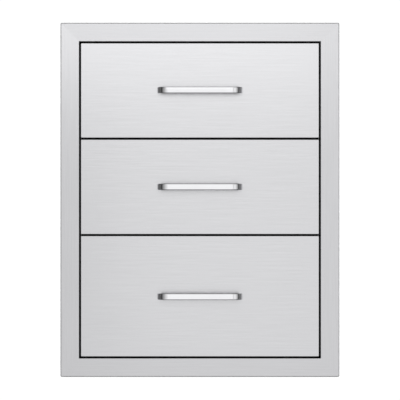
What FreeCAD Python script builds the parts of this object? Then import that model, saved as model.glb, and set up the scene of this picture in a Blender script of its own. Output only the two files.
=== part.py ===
import FreeCAD, Part
import itertools
import math
import os

# An outdoor kitchen drawer unit: three stainless drawers, flush in a face frame that laps over the
# cut-out of an island. Millimetres. X runs to the right, Y from the front to the back, and Z up.
# The origin is the middle of the frame's seat on the island's face: the frame stands out in front
# of y = 0, and the cabinet hangs behind it, inside the island.

V = FreeCAD.Vector

# Face frame, one folded sheet
frame_width = 460.0
frame_border = 31.0
frame_sheet = 1.0
frame_stand = 12.0
frame_edge_radius = 3.0
opening_edge = 0.4
jamb_depth = 22.0

# Drawer fronts, from the bottom up, each a folded skin closed by a liner
front_heights = {"bottom": 198.8, "middle": 156.0, "top": 156.0}
front_gap = 2.8
front_depth = 19.0
front_sheet = 1.0
front_edge_radius = 1.2
liner_sheet = 0.8
liner_fold = 12.0

# Bar handles
handle_length = 140.0
handle_height = 10.5
handle_depth = 6.0
handle_reach = 30.0
handle_bend_radius = 18.0
handle_edge = 1.5

# Drawer tubs
tub_sheet = 0.8
tub_corner_radius = 3.0
tub_drop = 22.0
tub_headroom = 24.0
tub_back_wall_lower = 6.0
rim_width = 6.0
rim_drop = 4.0
rim_bend_radius = 1.6
front_wall_rim = 9.0

# Cabinet box
panel_sheet = 0.8
panel_fold = 12.0
panel_edge = 0.6
panel_lap = 9.0
back_bead_rise = 3.0
back_bead_height = 26.0
back_bead_inset = 40.0
mount_hole_radius = 2.5
mount_hole_spacing = 250.0
mount_hole_back = 20.0

# Stamped pads that the slides seat on
pad_rise = 3.0
pad_margin = 1.0
pad_start = 1.0

# Divider rails behind the gaps between the drawers
rail_height = 24.0
rail_depth = 20.0
rail_sheet = 1.0
rail_bend_radius = 1.5

# Seals
jamb_seal_thickness = 2.2
jamb_seal_depth = 9.0
rail_seal_height = 14.0
rail_seal_end = 3.0
closing_room = 0.3

# Ball-bearing slides, full extension. Distances out from the cabinet's wall are along the slide's
# thickness, and heights are from its middle.
slide_length = 500.0
slide_thickness = 12.7
slide_sheet = 1.2
middle_sheet = 1.1
slide_above_tub_floor = 42.0
slide_bend_radius = 1.4
middle_bend_radius = 0.85
middle_web_out = 3.8
middle_short = 15.0
ball_radius = 2.0
race_room = 0.25
outer_row_out = 4.8
outer_row_height = 19.2
inner_row_out = 7.8
cabinet_lip_angle = -15.0
middle_lip_angle = -5.0
drawer_lip_angle = 205.0

# Ball retainers
retainer_length = 190.0
balls_in_row = 3
retainer_end = 8.0
retainer_thickness = 1.3
outer_retainer_height = 2.4
inner_retainer_height = 1.0
inner_retainer_lift = 0.13

# Release levers on the drawer members
lever_at = 195.0
lever_tail = 52.0
lever_boss_radius = 4.0
lever_tail_radius = 2.6
lever_thickness = 2.6
lever_pin_radius = 1.6
lever_pin_room = 0.2
lever_pin_head_radius = 2.8
lever_pin_head = 0.8

# Screws
slide_screw_head_radius = 3.5
slide_screw_head = 1.6
slide_screw_radius = 1.9
slide_screw_end = 1.2
slide_screws_at = (35.0, 435.0)
handle_screw_head_radius = 4.0
handle_screw_head = 2.4
handle_screw_radius = 2.0
handle_screw_bite = 8.0
screw_hole_room = 0.2

# Flats in place of small rounds, which repeat many times and are nearly all hidden
screw_sides = 6
pin_sides = 8
turn_in_flat = 30.0

# Places that follow from the sizes above
face_y = -frame_stand
jamb_back_y = face_y + jamb_depth
front_back_y = face_y + front_depth
opening_width = frame_width - 2 * frame_border
opening_height = sum(front_heights.values()) + (len(front_heights) + 1) * front_gap
frame_height = opening_height + 2 * frame_border
box_half_width = opening_width / 2 + frame_sheet
box_half_height = opening_height / 2 + frame_sheet
panel_front_y = jamb_back_y - panel_lap
pad_front_y = jamb_back_y + pad_start
slide_front_y = pad_front_y + pad_rise + pad_margin
slide_back_y = slide_front_y + slide_length
pad_back_y = slide_back_y + pad_margin + pad_rise
box_back_y = pad_back_y + pad_start + panel_fold
pad_x = box_half_width - pad_rise
tub_x = pad_x - slide_thickness
race_radius = ball_radius + race_room
row_distance = 2 * race_radius + middle_sheet
inner_row_height = outer_row_height - math.sqrt(
    row_distance**2 - (inner_row_out - outer_row_out) ** 2)
slide_half_height = outer_row_height + race_radius + slide_sheet


def block(x, y, z):
    """A block from its three ranges."""
    return Part.makeBox(x[1] - x[0], y[1] - y[0], z[1] - z[0], V(x[0], y[0], z[0]))


def span(middle, size):
    return (middle - size / 2, middle + size / 2)


def both(half):
    return (-half, half)


def grown(limits, by):
    return (limits[0] - by, limits[1] + by)


def moved(shape, x=0.0, y=0.0, z=0.0):
    return shape.translated(V(x, y, z))


def left_hand(shape):
    """The mirror image of a right-hand piece."""
    return shape.mirror(V(0, 0, 0), V(1, 0, 0))


def upside_down(shape):
    return shape.mirror(V(0, 0, 0), V(0, 0, 1))


def bevel_for(radius):
    """The bevel that touches a round of this radius at its middle."""
    return radius * (2 - math.sqrt(2))


def edges_at(solid, wanted):
    """The edges whose middle passes the test."""
    return [e for e in solid.Edges if wanted(e.CenterOfMass)]


def rod(radius, start, along, sides=screw_sides):
    """A rod of a few flats along X or Y, for screws, pins and their holes."""
    across = V(0, 1, 0) if abs(along.x) > abs(along.y) else V(1, 0, 0)
    corners = []
    for i in range(sides + 1):
        angle = math.radians(360 * (i + 0.5) / sides)
        corners.append(start + (across * math.cos(angle) + V(0, 0, 1) * math.sin(angle)) * radius)
    return Part.Face(Part.makePolygon(corners)).extrude(along)


def screw(head_radius, head, radius, length, seat, into):
    """A pan-head screw: the head stands on the seat, and the shank goes into the work."""
    way = V(into).normalize()
    return rod(head_radius, seat, way * -head).fuse(rod(radius, seat, way * length))


def turn_points(u, v, radius, a, b, steps):
    """Points on a circle from one angle to another, in degrees."""
    turns = [math.radians(a + (b - a) * i / steps) for i in range(steps + 1)]
    return [(u + radius * math.cos(t), v + radius * math.sin(t)) for t in turns]


def bend_points(bend, offset, flats):
    """A bend moved to the left of its path by offset: three points of its arc, or the ends of
    its flats."""
    u, v, radius, a, b = bend
    steps = max(1, round(abs(b - a) / turn_in_flat)) if flats else 2
    return turn_points(u, v, radius - offset if b > a else radius + offset, a, b, steps)


def sheet_side(stations, offset, flats):
    """One side of a bent sheet, as the points of its stations moved left by offset."""
    middle = [bend_points(s, 0, flats) if len(s) == 5 else [s] for s in stations]
    side = []
    for i, station in enumerate(stations):
        if len(station) == 5:
            side.append(bend_points(station, offset, flats))
            continue
        a, b = (station, middle[1][0]) if i == 0 else (middle[i - 1][-1], station)
        length = math.hypot(b[0] - a[0], b[1] - a[1])
        normal = ((a[1] - b[1]) / length, (b[0] - a[0]) / length)
        side.append([(station[0] + normal[0] * offset, station[1] + normal[1] * offset)])
    return side


def outline_edges(stretches):
    """Lines and arcs, one for each stretch of two or three points."""
    edges = []
    for points in stretches:
        if len(points) == 3:
            edges.append(Part.Arc(*points).toShape())
        elif points[0].distanceToPoint(points[1]) > 1e-6:
            edges.append(Part.makeLine(*points))
    return edges


def bent_sheet(stations, sheet, place, along, flats=False):
    """A bent sheet, drawn by the middle of its thickness and extruded. A station is an end point
    (u, v), or a bend (u, v, radius, from angle, to angle), and straight runs join them. place
    turns (u, v) into a point of the model. The bends are arcs, or a few flats each."""
    left, right = [sheet_side(stations, offset, flats) for offset in (sheet / 2, -sheet / 2)]
    stretches = [(left[0][0], right[0][0]), (left[-1][-1], right[-1][-1])]
    for side in (left, right):
        for i, points in enumerate(side):
            if i:
                stretches.append((side[i - 1][-1], points[0]))
            stretches += zip(points, points[1:]) if flats else [points] if len(points) == 3 else []
    edges = outline_edges([[place(*p) for p in points] for points in stretches])
    return Part.Face(Part.Wire(Part.__sortEdges__(edges))).extrude(along)


def whole(upper):
    """The stations of a section that is alike on both sides of v = 0, from its upper half."""
    lower = []
    for station in reversed(upper):
        u, v = station[:2]
        bend = (station[2], -station[4], -station[3]) if len(station) == 5 else ()
        lower.append((u, -v) + bend)
    return lower + upper


def frustum(axis, level, rise, u_range, v_range):
    """A stamped form with walls at 45 degrees. Its foot is at level on the axis, and it stands
    out from there by rise."""
    place = {"x": lambda a, u, v: V(a, u, v), "y": lambda a, u, v: V(u, a, v)}[axis]
    wires = []
    for height in (0, rise):
        u0, u1 = grown(u_range, -abs(height))
        v0, v1 = grown(v_range, -abs(height))
        corners = [(u0, v0), (u1, v0), (u1, v1), (u0, v1), (u0, v0)]
        wires.append(Part.makePolygon([place(level + height, u, v) for u, v in corners]))
    return Part.makeLoft(wires, True, True)


def ball():
    """A ball of twenty flats, about the origin, with a flat at its lowest and highest X."""
    golden = (1 + math.sqrt(5)) / 2
    scale = ball_radius / math.hypot(1, golden)
    corners = []
    for a, b in itertools.product((-1, 1), (-golden, golden)):
        corners += [V(0, a, b), V(a, b, 0), V(b, 0, a)]
    faces = []
    for three in itertools.combinations(corners, 3):
        if all(abs(p.distanceToPoint(q) - 2) < 0.01 for p, q in itertools.combinations(three, 2)):
            points = [p * scale for p in three]
            faces.append(Part.Face(Part.makePolygon(points + points[:1])))
    solid = Part.Solid(Part.makeShell(faces))
    face_lean = math.degrees(math.atan2(golden, 2 * golden + 1))
    return solid.rotate(V(0, 0, 0), V(0, 1, 0), 90 - face_lean)


def drawers():
    """Name, bottom edge and top edge of each drawer's front, from the bottom up."""
    rows = []
    bottom = -opening_height / 2 + front_gap
    for name, height in front_heights.items():
        rows.append((name, bottom, bottom + height))
        bottom += height + front_gap
    return rows


def slide_height(front_bottom):
    return front_bottom + tub_drop + slide_above_tub_floor


def face_frame():
    """The border with its outer fold back to the island and its inner fold into the opening. The
    outer fold's inside is bevelled, which leaves the sheet its thickness there."""
    def tray(shrink):
        return block(both(frame_width / 2 - shrink), (face_y + shrink, 0),
                     both(frame_height / 2 - shrink))

    def folded(p):
        return p.y < -1e-3

    outside = tray(0)
    inside = tray(frame_sheet)
    bevel = bevel_for(frame_edge_radius - frame_sheet)
    border = outside.makeFillet(frame_edge_radius, edges_at(outside, folded)).cut(
        inside.makeChamfer(bevel, edges_at(inside, folded)))
    jamb = block(both(box_half_width), (face_y, jamb_back_y), both(box_half_height))
    opening = block(both(opening_width / 2), (face_y - 1, jamb_back_y + 1),
                    both(opening_height / 2))
    frame = border.fuse(jamb).cut(opening).removeSplitter()

    def front_of_opening(p):
        inside = abs(p.x) < opening_width / 2 + 1e-3 and abs(p.z) < opening_height / 2 + 1e-3
        return inside and abs(p.y - face_y) < 1e-3

    return frame.makeChamfer(opening_edge, edges_at(frame, front_of_opening))


def side_panel():
    """The right side: a flat panel with a pad pressed inwards under each slide, and the holes of
    the screws that go out into the island's frame."""
    x = (box_half_width, box_half_width + panel_sheet)
    panel = block(x, (panel_front_y, box_back_y + panel_sheet), both(box_half_height))
    for name, bottom, top in drawers():
        middle = slide_height(bottom)
        foot = span(middle, 2 * (slide_half_height + pad_margin + pad_rise))
        pad = frustum("x", box_half_width, -pad_rise, (pad_front_y, pad_back_y), foot)
        panel = panel.fuse(pad).cut(moved(pad, x=panel_sheet))
        for hole in slide_screw_holes(middle):
            panel = panel.cut(hole)
    for z in both(mount_hole_spacing / 2):
        at = V(x[0] - 1, jamb_back_y + mount_hole_back, z)
        panel = panel.cut(Part.makeCylinder(mount_hole_radius, panel_sheet + 2, at, V(1, 0, 0)))
    return panel.removeSplitter()


def top_panel():
    """A pan that hangs over the sides and the back, open where it meets the frame."""
    outside_x = box_half_width + 2 * panel_sheet
    outside_y = box_back_y + 2 * panel_sheet
    low = box_half_height - panel_fold
    pan = block(both(outside_x), (panel_front_y, outside_y), (low, box_half_height + panel_sheet))
    folded = edges_at(pan, lambda p: p.z > box_half_height and p.y > panel_front_y + 1)
    pan = pan.makeChamfer(panel_edge, folded)
    hollow = block(both(outside_x - panel_sheet), (panel_front_y - 1, outside_y - panel_sheet),
                   (low - 1, box_half_height))
    return pan.cut(hollow)


def back_panel():
    """A pan set between the sides, its folds forward, with two pressed stiffening beads."""
    outside = block(both(box_half_width), (box_back_y - panel_fold, box_back_y + panel_sheet),
                    both(box_half_height))
    hollow = block(both(box_half_width - panel_sheet), (box_back_y - panel_fold - 1, box_back_y),
                   both(box_half_height - panel_sheet))
    pan = outside.cut(hollow)
    for z in both(box_half_height / 2):
        bead = frustum("y", box_back_y, -back_bead_rise, both(box_half_width - back_bead_inset),
                       span(z, back_bead_height))
        pan = pan.fuse(bead).cut(moved(bead, y=panel_sheet))
    return pan.removeSplitter()


def divider_rail(z):
    """A channel between the sides, its web to the front, behind the gap at height z."""
    web = jamb_back_y + rail_sheet / 2
    flange = rail_height / 2 - rail_sheet / 2
    upper = [(web + rail_bend_radius, flange - rail_bend_radius, rail_bend_radius, 180, 90),
             (jamb_back_y + rail_depth, flange)]
    return bent_sheet(whole(upper), rail_sheet, lambda u, v: V(-box_half_width, u, z + v),
                      V(2 * box_half_width, 0, 0), flats=True)


def frame_seal():
    """The black seal round the inside of the jamb, beside the fronts' edges."""
    y = (front_back_y - jamb_seal_depth, front_back_y)
    ring = block(both(opening_width / 2), y, both(opening_height / 2))
    inside = block(both(opening_width / 2 - jamb_seal_thickness), grown(y, 1),
                   both(opening_height / 2 - jamb_seal_thickness))
    return ring.cut(inside)


def divider_seal(z):
    """The seal on a divider rail's face, which the fronts close on."""
    return block(both(opening_width / 2 - rail_seal_end), (front_back_y + closing_room, jamb_back_y),
                 span(z, rail_seal_height))


def front_skin(z):
    """A drawer front's outer skin: the face, with a fold back on all four sides."""
    outside = block(both(opening_width / 2 - front_gap), (face_y, front_back_y), z)
    face_edges = edges_at(outside, lambda p: p.y < face_y + 1e-3)
    outside = outside.makeFillet(front_edge_radius, face_edges)
    hollow = block(both(opening_width / 2 - front_gap - front_sheet),
                   (face_y + front_sheet, front_back_y + 1), grown(z, -front_sheet))
    return outside.cut(hollow)


def front_liner(z):
    """The inner pan that closes the back of a front, its folds inside the skin's."""
    half = opening_width / 2 - front_gap - front_sheet
    inner_z = grown(z, -front_sheet)
    pan = block(both(half), (front_back_y - liner_fold, front_back_y), inner_z)
    hollow = block(both(half - liner_sheet),
                   (front_back_y - liner_fold - 1, front_back_y - liner_sheet),
                   grown(inner_z, -liner_sheet))
    return pan.cut(hollow)


def tub(floor, top):
    """A drawer's tub: floor and sides in one bent sheet with rolled rims, and two end walls."""
    middle = tub_sheet / 2
    side = tub_x - middle
    rim_top = top - middle
    back_y = slide_back_y - closing_room
    section = [
        (floor + middle + tub_corner_radius, side - tub_corner_radius, tub_corner_radius, 180, 90),
        (rim_top - rim_bend_radius, side + rim_bend_radius, rim_bend_radius, 270, 360),
        (rim_top - rim_bend_radius, side + rim_width - rim_bend_radius, rim_bend_radius, 0, 90),
        (rim_top - rim_drop, side + rim_width)]
    body = bent_sheet(whole(section), tub_sheet, lambda u, v: V(v, front_back_y, u),
                      V(0, back_y - front_back_y, 0), flats=True)
    inside = block(both(tub_x - tub_sheet), grown((front_back_y, back_y), rim_width * 2),
                   (floor + tub_sheet, top + 1))
    corners = edges_at(inside, lambda p: p.z < floor + tub_sheet + 1e-3 and abs(p.x) > 1)
    inside = inside.makeChamfer(bevel_for(tub_corner_radius - middle), corners)
    front_y = front_back_y + middle
    front_wall = bent_sheet(
        [(front_y, floor), (front_y + rim_bend_radius, rim_top - rim_bend_radius, rim_bend_radius, 180, 90),
         (front_y + front_wall_rim, rim_top)],
        tub_sheet, lambda u, v: V(-tub_x, u, v), V(2 * tub_x, 0, 0), flats=True)
    wall_y = back_y - rim_width
    wall_top = rim_top - tub_back_wall_lower
    back_wall = bent_sheet(
        [(wall_y, floor), (wall_y + rim_bend_radius, wall_top - rim_bend_radius, rim_bend_radius, 180, 90),
         (wall_y + rim_width - rim_bend_radius, wall_top - rim_bend_radius, rim_bend_radius, 90, 0),
         (wall_y + rim_width, wall_top - rim_drop)],
        tub_sheet, lambda u, v: V(-tub_x, u, v), V(2 * tub_x, 0, 0), flats=True)
    return body.fuse([front_wall.common(inside), back_wall.common(inside)])


def handle(z):
    """A bar bent back to the front at both ends, with bevelled outer edges."""
    middle_radius = handle_bend_radius - handle_depth / 2
    bar = face_y - handle_reach + handle_depth / 2
    leg = handle_length / 2 - handle_depth / 2
    half = [(bar + middle_radius, leg - middle_radius, middle_radius, 180, 90), (face_y, leg)]
    low = z - handle_height / 2

    def outer_edge(p):
        on_end = abs(abs(p.z - z) - handle_height / 2) < 1e-3
        outside = p.y < bar - handle_depth / 2 + 1e-3 or abs(p.x) > leg + 1
        return on_end and outside

    solid = bent_sheet(whole(half), handle_depth, lambda u, v: V(v, u, low),
                       V(0, 0, handle_height))
    return solid.makeChamfer(handle_edge, edges_at(solid, outer_edge))


def handle_screw_places(z):
    x = handle_length / 2 - handle_depth / 2
    return [V(side, front_back_y + tub_sheet, z) for side in both(x)]


def handle_screw(seat):
    depth = seat.y - face_y + handle_screw_bite
    return screw(handle_screw_head_radius, handle_screw_head, handle_screw_radius, depth, seat,
                 V(0, -1, 0))


def handle_screw_holes(z):
    """The screws' holes through the tub, the liner and the skin, and into the handle's legs."""
    holes = []
    for seat in handle_screw_places(z):
        depth = seat.y - face_y + handle_screw_bite + 1
        holes.append(rod(handle_screw_radius + screw_hole_room, seat + V(0, 1, 0),
                         V(0, -depth - 1, 0)))
    return holes


def slide_place(y):
    """Turns a distance out from the cabinet's wall and a height into a point on the right."""
    return lambda out, height: V(pad_x - out, y, height)


def cabinet_slide():
    """The member on the cabinet: a web and two flanges that hook over the outer balls."""
    middle = slide_sheet / 2
    race = race_radius + middle
    top = outer_row_height + race
    upper = [
        (middle + slide_bend_radius, top - slide_bend_radius, slide_bend_radius, 180, 90),
        (outer_row_out, outer_row_height, race, 90, cabinet_lip_angle)]
    return bent_sheet(whole(upper), slide_sheet, slide_place(slide_front_y),
                      V(0, slide_length, 0), flats=True)


def middle_slide():
    """The member between: each flange waves under the outer balls and over the inner balls."""
    race = race_radius + middle_sheet / 2
    flange = outer_row_height - race
    lean = math.degrees(math.atan2(inner_row_height - outer_row_height,
                                   inner_row_out - outer_row_out))
    upper = [
        (middle_web_out + middle_bend_radius, flange - middle_bend_radius, middle_bend_radius,
         180, 90),
        (outer_row_out, outer_row_height, race, 270, 360 + lean),
        (inner_row_out, inner_row_height, race, 180 + lean, middle_lip_angle)]
    return bent_sheet(whole(upper), middle_sheet, slide_place(slide_front_y),
                      V(0, slide_length - middle_short, 0), flats=True)


def drawer_slide():
    """The member on the drawer: a web and two flanges under the inner balls."""
    middle = slide_sheet / 2
    web = slide_thickness - middle
    race = race_radius + middle
    flange = inner_row_height - race
    upper = [
        (web - slide_bend_radius, flange - slide_bend_radius, slide_bend_radius, 0, 90),
        (inner_row_out, inner_row_height, race, 270, drawer_lip_angle)]
    member = bent_sheet(whole(upper), slide_sheet, slide_place(slide_front_y),
                        V(0, slide_length, 0), flats=True)
    return member.fuse(lever_pin())


def slide_screw_places(out):
    return [V(pad_x - out, slide_front_y + along, 0) for along in slide_screws_at]


def slide_screw_holes(z):
    """Holes of one slide's screws, through the side panel's pad, both members and the tub."""
    holes = []
    for seat in slide_screw_places(0):
        holes.append(rod(slide_screw_radius + screw_hole_room, seat + V(panel_sheet + 1, 0, z),
                         V(-slide_thickness - tub_sheet - panel_sheet - 2, 0, 0)))
    return holes


def slide_screw(seat, way):
    """A slide's screw: its head on the member's web, its tip just through the sheet behind."""
    length = slide_sheet + slide_screw_end
    return screw(slide_screw_head_radius, slide_screw_head, slide_screw_radius, length, seat, way)


def ball_row(row_out, row_height, strip_height, strip_lift):
    """A retainer strip and its balls, above the slide's middle. The strip is on the cabinet's side
    of the balls, and they rest against it."""
    start = slide_front_y + slide_length / 4
    one = ball()
    strip_x = pad_x - row_out + one.BoundBox.XMax
    strip = block((strip_x, strip_x + retainer_thickness), (start, start + retainer_length),
                  span(row_height + strip_lift, strip_height))
    step = (retainer_length - 2 * retainer_end) / (balls_in_row - 1)
    row = [strip]
    for i in range(balls_in_row):
        row.append(moved(one, pad_x - row_out, start + retainer_end + i * step, row_height))
    return row


def lever_pin():
    """The headed pin on the drawer member's web that the release lever turns on."""
    root = V(pad_x - slide_thickness + slide_sheet, slide_front_y + lever_at, 0)
    length = lever_thickness + lever_pin_room
    pin = rod(lever_pin_radius, root, V(length + lever_pin_head, 0, 0), pin_sides)
    return pin.fuse(rod(lever_pin_head_radius, root + V(length, 0, 0), V(lever_pin_head, 0, 0),
                        pin_sides))


def release_lever():
    """A plastic lever on the pin, tapering back from its boss to its rounded tail."""
    lean = math.degrees(math.asin((lever_boss_radius - lever_tail_radius) / lever_tail))
    side = 90 - lean
    x = pad_x - slide_thickness + slide_sheet
    y = slide_front_y + lever_at
    steps = round(180 / turn_in_flat)
    outline = turn_points(y, 0, lever_boss_radius, side, 360 - side, steps)
    outline += turn_points(y + lever_tail, 0, lever_tail_radius, -side, side, steps)
    corners = [V(x, u, v) for u, v in outline + outline[:1]]
    plate = Part.Face(Part.makePolygon(corners)).extrude(V(lever_thickness, 0, 0))
    return plate.cut(rod(lever_pin_radius + lever_pin_room, V(x - 1, y, 0),
                         V(lever_thickness + 2, 0, 0), pin_sides))


def drill(shape, holes):
    for hole in holes:
        shape = shape.cut(hole)
    return shape


def save(name, *solids):
    """Writes one node. A node of several like pieces holds them as separate solids."""
    shape = solids[0] if len(solids) == 1 else Part.makeCompound(solids)
    shape.exportStep(f"parts/{name}.step")


def save_cabinet():
    side = side_panel()
    top = top_panel()
    save("face_frame", face_frame())
    save("right_side_panel", side)
    save("left_side_panel", left_hand(side))
    save("top_panel", top)
    save("bottom_panel", upside_down(top))
    save("back_panel", back_panel())
    gaps = [bottom - front_gap / 2 for name, bottom, top in drawers()[1:]]
    save("lower_divider_rail", divider_rail(gaps[0]))
    save("upper_divider_rail", divider_rail(gaps[1]))
    save("frame_seal", frame_seal())
    save("divider_seals", *[divider_seal(z) for z in gaps])


def save_slides():
    """The six slides, from one set of right-hand pieces."""
    holes = slide_screw_holes(0)
    cabinet = drill(cabinet_slide(), holes)
    middle = middle_slide()
    drawer = drill(drawer_slide(), holes)
    lever = release_lever()
    cabinet_screws = [slide_screw(p, V(1, 0, 0)) for p in slide_screw_places(slide_sheet)]
    drawer_screws = [slide_screw(p, V(-1, 0, 0))
                     for p in slide_screw_places(slide_thickness - slide_sheet)]
    outer = ball_row(outer_row_out, outer_row_height, outer_retainer_height, 0)
    inner = ball_row(inner_row_out, inner_row_height, inner_retainer_height, inner_retainer_lift)
    all_cabinet_screws = []
    for name, bottom, top in drawers():
        z = slide_height(bottom)
        for side, hand in (("left", left_hand), ("right", lambda shape: shape)):
            save(f"{name}_{side}_cabinet_slide", moved(hand(cabinet), z=z))
            save(f"{name}_{side}_middle_slide", moved(hand(middle), z=z))
            save(f"{name}_{side}_drawer_slide", moved(hand(drawer), z=z))
            save(f"{name}_{side}_release_lever", moved(hand(lever), z=z))
            all_cabinet_screws += [moved(hand(s), z=z) for s in cabinet_screws]
        for node, row in (("outer_ball_rows", outer), ("inner_ball_rows", inner)):
            right = row + [upside_down(piece) for piece in row]
            rows = right + [left_hand(piece) for piece in right]
            save(f"{name}_{node}", *[moved(piece, z=z) for piece in rows])
        screws = drawer_screws + [left_hand(s) for s in drawer_screws]
        save(f"{name}_slide_screws", *[moved(s, z=z) for s in screws])
    save("cabinet_slide_screws", *all_cabinet_screws)


def save_drawers():
    for name, bottom, top in drawers():
        middle = (bottom + top) / 2
        holes = handle_screw_holes(middle)
        z = slide_height(bottom)
        slide_holes = [moved(hole, z=z) for hole in slide_screw_holes(0)]
        slide_holes += [left_hand(hole) for hole in slide_holes]
        tub_holes = holes + slide_holes
        save(f"{name}_front_skin", drill(front_skin((bottom, top)), holes))
        save(f"{name}_front_liner", drill(front_liner((bottom, top)), holes))
        save(f"{name}_tub", drill(tub(bottom + tub_drop, top - tub_headroom), tub_holes))
        save(f"{name}_handle", drill(handle(middle), holes))
        save(f"{name}_handle_screws", *[handle_screw(p) for p in handle_screw_places(middle)])


os.makedirs("parts", exist_ok=True)
save_cabinet()
save_slides()
save_drawers()
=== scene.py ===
import bmesh
import bpy
from math import asin, atan2, cos, degrees, dist, pi, radians, sin, sqrt, tan
from mathutils import Matrix, Vector


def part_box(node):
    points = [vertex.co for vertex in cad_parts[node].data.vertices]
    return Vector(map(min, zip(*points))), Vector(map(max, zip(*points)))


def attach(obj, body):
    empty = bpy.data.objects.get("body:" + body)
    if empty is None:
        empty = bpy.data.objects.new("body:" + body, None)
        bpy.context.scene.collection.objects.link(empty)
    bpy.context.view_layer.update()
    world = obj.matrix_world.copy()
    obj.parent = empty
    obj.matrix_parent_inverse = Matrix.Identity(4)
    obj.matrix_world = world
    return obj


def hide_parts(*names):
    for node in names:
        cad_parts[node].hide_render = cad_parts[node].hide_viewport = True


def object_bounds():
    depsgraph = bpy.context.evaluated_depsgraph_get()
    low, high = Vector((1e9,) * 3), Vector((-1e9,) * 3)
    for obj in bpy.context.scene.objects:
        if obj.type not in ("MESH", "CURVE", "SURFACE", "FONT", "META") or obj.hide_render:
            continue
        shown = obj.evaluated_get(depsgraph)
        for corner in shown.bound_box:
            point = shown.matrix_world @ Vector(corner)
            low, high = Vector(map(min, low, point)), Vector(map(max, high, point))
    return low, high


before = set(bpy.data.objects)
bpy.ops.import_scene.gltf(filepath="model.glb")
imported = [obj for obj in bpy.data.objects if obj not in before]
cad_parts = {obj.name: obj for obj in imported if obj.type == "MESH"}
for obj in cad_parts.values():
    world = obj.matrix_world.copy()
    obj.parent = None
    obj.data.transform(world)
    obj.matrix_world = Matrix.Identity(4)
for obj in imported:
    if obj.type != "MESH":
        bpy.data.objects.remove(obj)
cad_low, cad_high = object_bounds()
scene = bpy.context.scene

# An outdoor kitchen drawer unit: three brushed stainless drawers, flush in a face frame. The
# pieces are drawn in millimetres, and piece() turns them to metres.
MM = 0.001
DRAWERS = ("top", "middle", "bottom")
X, Y, Z = range(3)

# Steps of the drawing, and its angles in degrees
ARC_STEP = 11.25
CORNER_STEPS = 6
CIRCLE_STEPS = 20
BEND_STEPS = 8
BEVEL_STEPS = 1
BEVEL_ROUND_STEPS = 2
BALL_SUBDIVISIONS = 2
WELD_SEGMENTS = 16
WELD_RINGS = 6
PRESS_SLOPE = 45.0
RIB_STEP = 30
SHARP_ANGLE = 38.0
SAME_POINT = 0.03

# Patterns of the materials, and the parts of their noise that show
STREAK_DETAIL = 4.0
SCRATCH_DETAIL = 3.0
LINE_ROUGHNESS = 0.62
SCRATCH_SHARE = 0.45
SCRATCH_STRENGTH = 0.35
SCRATCH_DEPTH = 0.02
WAVE_LENGTH = 143.0
BRUSHED_GLOSS = 0.02
ACROSS_GRAIN = 0.25
GRAIN_DETAIL = 2.0
GRAIN_ROUGHNESS = 0.6
GRAIN_STRENGTH = 0.2
TONE_RANGE = {"From Min": 0.35, "From Max": 0.65}
GLOSS_RANGE = {"From Min": 0.3, "From Max": 0.7}

# Face frame, as it is folded
frame_sheet = 1.0
frame_edge_radius = 2.1
frame_corner_radius = 3.0
opening_edge_radius = 0.7
tight_corner = 0.4

# Drawer fronts
front_sheet = 1.0
front_edge_radius = 0.9
front_corner_radius = 1.3

# Bar handles
handle_bend_radius = 18.0
handle_depth = 6.0
handle_bevel = 0.9
handle_bevel_round = 0.8
handle_foot_sink = 0.4

# Drawer liners and tubs
liner_sheet = 0.8
liner_bend = 1.2
tub_sheet = 0.8
tub_corner_radius = 3.0
rim_width = 6.0
rim_drop = 4.0
rim_bend_radius = 1.6
front_wall_rim = 9.0
back_wall_lower = 6.0

# Cabinet panels
panel_sheet = 0.8
panel_bend = 1.6
pad_rise = 3.0
pad_margin = 4.0
pad_corner = 6.0
press_bend = 1.2
mount_hole_radius = 2.5
mount_hole_back = 20.0
mount_hole_height = 125.0
bead_inset = 40.0
bead_height = 26.0
bead_corner = 12.0

# Divider rails and seals
rail_sheet = 1.0
rail_bend_radius = 1.5
seal_thickness = 2.2
seal_rib = 0.5
seal_ribs = 4
divider_seal_ribs = 5
divider_seal_margin = 5.0

# Slides. Distances out from the cabinet's wall run along a slide's thickness, and heights are
# from its middle. A retainer's strips have a height, and a lift from their balls.
slide_sheet = 1.2
middle_sheet = 1.1
slide_bend_radius = 1.4
middle_bend_radius = 0.85
middle_web_out = 3.8
ball_radius = 2.0
race_radius = 2.25
outer_row_out = 4.8
outer_row_height = 19.2
inner_row_out = 7.8
cabinet_lip_angle = -15.0
middle_lip_angle = -5.0
drawer_lip_angle = 205.0
screw_radius = 1.9
slide_screws_at = (35.0, 435.0)
retainer_room = 1.59
retainer_thickness = 1.3
outer_retainer = (2.4, 0.0)
inner_retainer = (1.0, 0.13)
retainer_end = 8.0
retainer_corner = 0.3
balls_in_row = 9
# Holes in the members' webs, as places and a radius, and their slots, as places, heights, a
# length and a radius
cabinet_holes = ((slide_screws_at, screw_radius), ((75.0, 210.0, 395.0), 3.2))
cabinet_slots = ((120.0, 250.0, 340.0), (-8.0, 8.0), 12.0, 2.2)
middle_holes = (((60.0, 410.0), 5.0),)
middle_slots = ((150.0, 240.0, 330.0), (0.0,), 26.0, 5.0)
drawer_holes = ((slide_screws_at, screw_radius), ((75.0, 140.0, 470.0), 2.6))
drawer_slots = ((300.0, 370.0), (0.0,), 14.0, 2.6)

# Release levers. The pin's head is straight for a share of its height, and narrower at its top.
lever_at = 195.0
lever_tail = 52.0
lever_boss_radius = 4.0
lever_tail_radius = 2.6
lever_edge = 0.5
lever_edge_bulge = 0.3
lever_bore = 1.8
lever_play = 0.2
lever_pin_head = 2.8
lever_pin_head_height = 0.8
lever_pin_straight = 0.6
lever_pin_top = 0.8

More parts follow.
